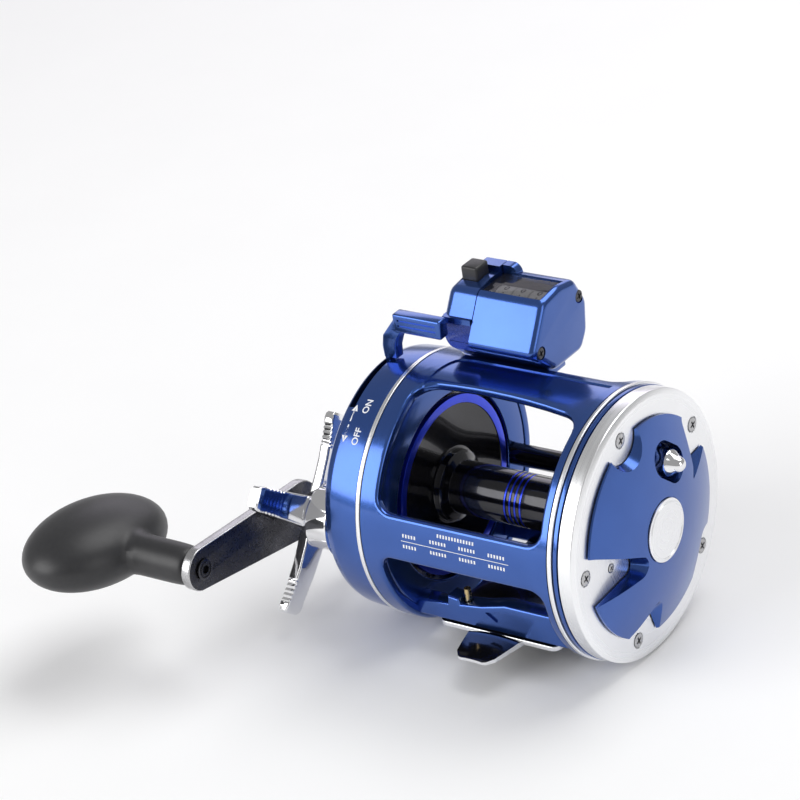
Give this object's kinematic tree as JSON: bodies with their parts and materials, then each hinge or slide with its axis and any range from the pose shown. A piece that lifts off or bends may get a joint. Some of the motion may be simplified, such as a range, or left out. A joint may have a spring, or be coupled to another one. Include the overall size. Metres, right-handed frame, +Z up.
{
  "type": "trolling reel",
  "caption": "Level-wind trolling reel with round metal frame, star drag, single crank and egg-shaped knob, free-spool lever, clicker and a line counter on top.",
  "frame": {"origin": "centre of the flat underside of the foot", "axes": "+X along the spool towards the palm side, -X to the handle side, +Y forward to the rod tip, +Z up away from the rod"},
  "size_m": [0.1715, 0.1245, 0.1014],
  "materials": {
    "blue_anodised": "gloss",
    "silver_satin": "satin",
    "chrome_plate": "polished",
    "black_anodised": "gloss",
    "steel": "satin",
    "brass": "machined",
    "rubber": "matt",
    "plastic_black": "matt",
    "plastic_white": "gloss",
    "fibre": "matt",
    "window_smoke": "smoked"
  },
  "bodies": {
    "reel_body": {"frame": "blue_anodised", "accent_ring_left": "silver_satin", "accent_ring_right": "silver_satin", "handle_side_cover": "blue_anodised", "gear_bridge_plate": "steel", "spool_bearing_left": "steel", "spool_bearing_right": "steel", "palm_side_plate": "blue_anodised", "trim_ring": "silver_satin", "palm_dome": "blue_anodised", "badge": "silver_satin", "trim_screw_1": "steel", "trim_screw_2": "steel", "trim_screw_3": "steel", "trim_screw_4": "steel", "trim_screw_5": "steel", "dome_screw": "steel", "level_wind_tube": "black_anodised", "foot": "black_anodised", "foot_screw_rear": "brass", "foot_screw_front": "brass", "counter_body": "blue_anodised", "counter_gearbox": "blue_anodised", "counter_window": "window_smoke", "counter_screw_upper": "steel", "counter_screw_lower": "steel", "counter_shaft": "steel"},
    "crank": {"drive_shaft": "steel", "drive_gear": "brass", "ratchet_wheel": "steel", "drag_washer_inner": "fibre", "drag_washer_metal": "steel", "drag_washer_outer": "fibre", "drag_pressure_plate": "steel", "drag_spring_washer": "steel", "handle_arm": "steel", "handle_nut": "steel", "knob_spindle": "steel"},
    "knob": {"knob": "rubber"},
    "star": {"star_wheel": "chrome_plate"},
    "spool": {"spool": "black_anodised", "spool_shaft": "steel", "spool_gear": "brass", "click_gear": "steel"},
    "yoke": {"clutch_yoke": "steel"},
    "pinion": {"pinion": "brass"},
    "lever": {"free_spool_lever": "blue_anodised"},
    "idler": {"idler_gear": "plastic_white"},
    "worm": {"worm_shaft": "brass", "worm_gear": "brass"},
    "line_guide": {"line_guide": "plastic_black", "guide_pawl_cap": "steel"},
    "clicker": {"clicker_button": "chrome_plate", "click_pawl": "steel"},
    "dog": {"anti_reverse_dog": "steel"},
    "tension_cap": {"tension_cap": "silver_satin"},
    "reset_button": {"reset_button": "plastic_black"},
    "wheel_ones": {"number_wheel_ones": "plastic_white"},
    "wheel_tens": {"number_wheel_tens": "plastic_white"},
    "wheel_hundreds": {"number_wheel_hundreds": "plastic_white"}
  },
  "joints": [
    {"name": "handle_turn", "type": "hinge", "parent": "reel_body", "child": "crank", "pos_m": [-0.06, -0.0168, 0.0215], "axis": [-1, 0, 0], "continuous": true},
    {"name": "knob_spin", "type": "hinge", "parent": "crank", "child": "knob", "pos_m": [-0.1096, -0.06146, 0.02698], "axis": [-1, 0, 0], "continuous": true},
    {"name": "star_turn", "type": "hinge", "parent": "crank", "child": "star", "pos_m": [-0.064, -0.0168, 0.0215], "axis": [-1, 0, 0], "range_deg": [-180, 180]},
    {"name": "spool_spin", "type": "hinge", "parent": "reel_body", "child": "spool", "pos_m": [0, 0, 0.0301], "axis": [-1, 0, 0], "continuous": true},
    {"name": "lever_swing", "type": "hinge", "parent": "reel_body", "child": "lever", "pos_m": [-0.0434, 0, 0.0301], "axis": [1, 0, 0], "range_deg": [0, 28]},
    {"name": "yoke_lift", "type": "slide", "parent": "reel_body", "child": "yoke", "axis": [-1, 0, 0], "range_m": [0, 0.0015]},
    {"name": "pinion_spin", "type": "hinge", "parent": "yoke", "child": "pinion", "pos_m": [-0.0374, 0, 0.0301], "axis": [-1, 0, 0], "continuous": true},
    {"name": "idler_spin", "type": "hinge", "parent": "reel_body", "child": "idler", "pos_m": [-0.0308, 0.01539, 0.03065], "axis": [-1, 0, 0], "continuous": true},
    {"name": "worm_spin", "type": "hinge", "parent": "reel_body", "child": "worm", "pos_m": [0, 0.0293, 0.0249], "axis": [-1, 0, 0], "continuous": true},
    {"name": "guide_travel", "type": "slide", "parent": "reel_body", "child": "line_guide", "axis": [1, 0, 0], "range_m": [-0.0355, 0.0055]},
    {"name": "clicker_slide", "type": "slide", "parent": "reel_body", "child": "clicker", "axis": [0, -0.766, 0.6428], "range_m": [0, 0.005]},
    {"name": "dog_swing", "type": "hinge", "parent": "reel_body", "child": "dog", "pos_m": [-0.0354, -0.0191, 0.0082], "axis": [-1, 0, 0], "range_deg": [0, 14]},
    {"name": "tension_turn", "type": "hinge", "parent": "reel_body", "child": "tension_cap", "pos_m": [-0.048, 0, 0.0301], "axis": [-1, 0, 0], "range_deg": [-180, 180]},
    {"name": "reset_press", "type": "slide", "parent": "reel_body", "child": "reset_button", "axis": [0, 0, -1], "range_m": [0, 0.002], "stiffness_N_per_m": 300, "springref_m": -0.001},
    {"name": "ones_turn", "type": "hinge", "parent": "reel_body", "child": "wheel_ones", "pos_m": [0, 0.0155, 0.0821], "axis": [-1, 0, 0], "continuous": true},
    {"name": "tens_turn", "type": "hinge", "parent": "reel_body", "child": "wheel_tens", "pos_m": [-0.0055, 0.0155, 0.0821], "axis": [-1, 0, 0], "continuous": true},
    {"name": "hundreds_turn", "type": "hinge", "parent": "reel_body", "child": "wheel_hundreds", "pos_m": [-0.011, 0.0155, 0.0821], "axis": [-1, 0, 0], "continuous": true}
  ],
  "couplings": [
    {"joint": "spool_spin", "follows": "handle_turn", "ratio": -3.8},
    {"joint": "pinion_spin", "follows": "handle_turn", "ratio": -3.8},
    {"joint": "idler_spin", "follows": "handle_turn", "ratio": 1.7733},
    {"joint": "worm_spin", "follows": "handle_turn", "ratio": -4.0923},
    {"joint": "ones_turn", "follows": "handle_turn", "ratio": 1},
    {"joint": "tens_turn", "follows": "handle_turn", "ratio": 0.1},
    {"joint": "hundreds_turn", "follows": "handle_turn", "ratio": 0.01},
    {"joint": "yoke_lift", "follows": "lever_swing", "m_per_rad": 0.0030694}
  ]
}
